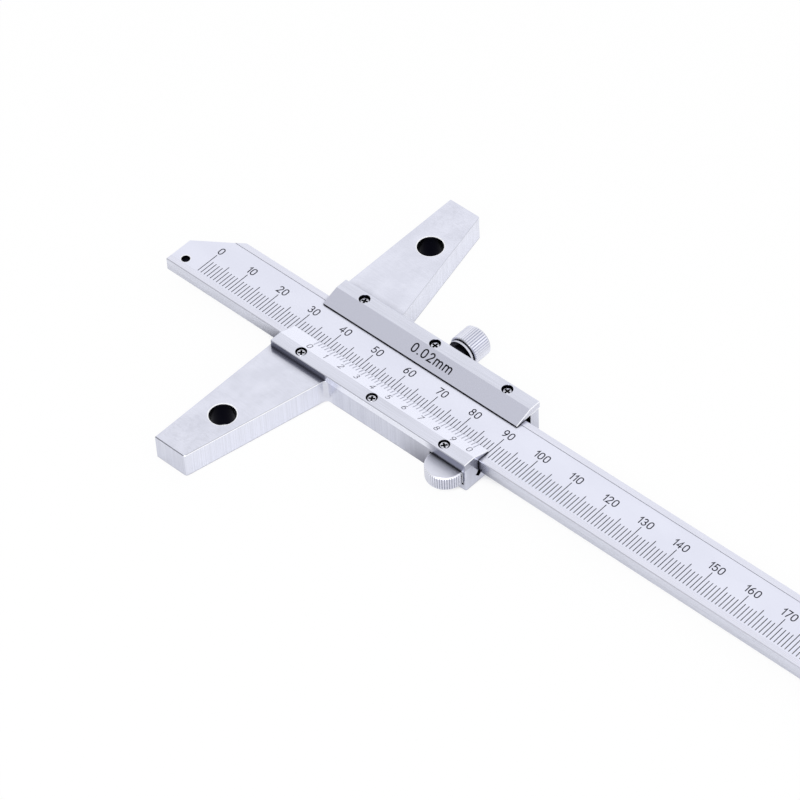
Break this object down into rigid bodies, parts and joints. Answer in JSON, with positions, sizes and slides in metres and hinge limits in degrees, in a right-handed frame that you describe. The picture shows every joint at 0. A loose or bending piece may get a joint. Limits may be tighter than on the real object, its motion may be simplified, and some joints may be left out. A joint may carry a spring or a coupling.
{
  "type": "vernier depth gauge",
  "caption": "Flat steel cross-head with a sliding graduated beam, a vernier plate, a clamp screw and a thumb roller, for reading the depth of holes and steps.",
  "frame": {"origin": "in the measuring plane of the cross-head, on the middle line of the beam, at the flat back that the gauge lies on", "axes": "+X from the measuring face back along the beam towards its tail, +Y towards the lock screw's side, +Z out of the scale face"},
  "size_m": [0.27, 0.1, 0.009],
  "materials": {
    "frame_steel": "fine ground stainless steel",
    "beam_steel": "satin stainless steel with engraved black lines and figures",
    "plate_steel": "lengthwise brushed stainless steel, satin on the bevel",
    "screw_steel": "bright turned steel",
    "knurled_steel": "bright straight-knurled steel",
    "spring_steel": "plain spring steel"
  },
  "bodies": {
    "head": {"base_frame": "frame_steel", "vernier_plate": "plate_steel", "cover_plate": "plate_steel", "vernier_plate_screws": "screw_steel", "cover_plate_screws": "screw_steel", "gib_spring": "spring_steel", "roller_axle": "screw_steel"},
    "beam": {"beam": "beam_steel"},
    "lock_screw": {"lock_screw": "knurled_steel"},
    "thumb_roller": {"thumb_roller": "knurled_steel"}
  },
  "joints": [
    {"name": "beam_slide", "type": "slide", "parent": "head", "child": "beam", "axis": [-1, 0, 0], "range_m": [-0.0381, 0.1619]},
    {"name": "lock_screw_turn", "type": "hinge", "parent": "head", "child": "lock_screw", "pos_m": [0.0341, 0.0127, 0.00485], "axis": [0, 1, 0], "range_deg": [-90, 360]},
    {"name": "thumb_roller_turn", "type": "hinge", "parent": "head", "child": "thumb_roller", "pos_m": [0.0544, -0.01277, 0.004], "axis": [0, 0, 1], "range_deg": [-470, 1960]}
  ],
  "couplings": [
    {"joint": "thumb_roller_turn", "follows": "beam_slide", "rad_per_m": 210.53}
  ]
}
